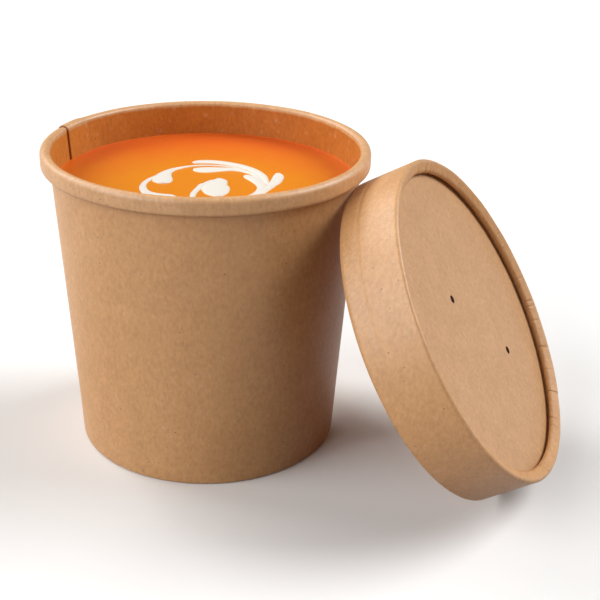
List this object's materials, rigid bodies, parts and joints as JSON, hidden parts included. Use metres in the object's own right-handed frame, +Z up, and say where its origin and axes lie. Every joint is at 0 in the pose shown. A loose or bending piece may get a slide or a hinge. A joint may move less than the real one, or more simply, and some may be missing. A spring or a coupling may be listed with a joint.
{
  "type": "takeaway soup container",
  "caption": "Takeaway paper cup with a rolled rim, filled with creamy orange soup, and its vented paper lid leaning against it.",
  "frame": {"origin": "on the table, under the middle of the box round the cup and its lid", "axes": "+Z up along the cup's own axis; +X from the cup towards the lid that leans on it; +Y to the back"},
  "size_m": [0.1476, 0.114, 0.0866],
  "materials": {
    "kraft": "matt natural brown board",
    "kraft_panel": "matt natural brown board",
    "kraft_base": "coated brown board",
    "soup": "glossy liquid, orange"
  },
  "bodies": {
    "root": {"cup_wall": "kraft", "cup_base": "kraft_base", "soup": "soup", "lid_skirt": "kraft", "lid_panel": "kraft_panel"}
  },
  "joints": []
}
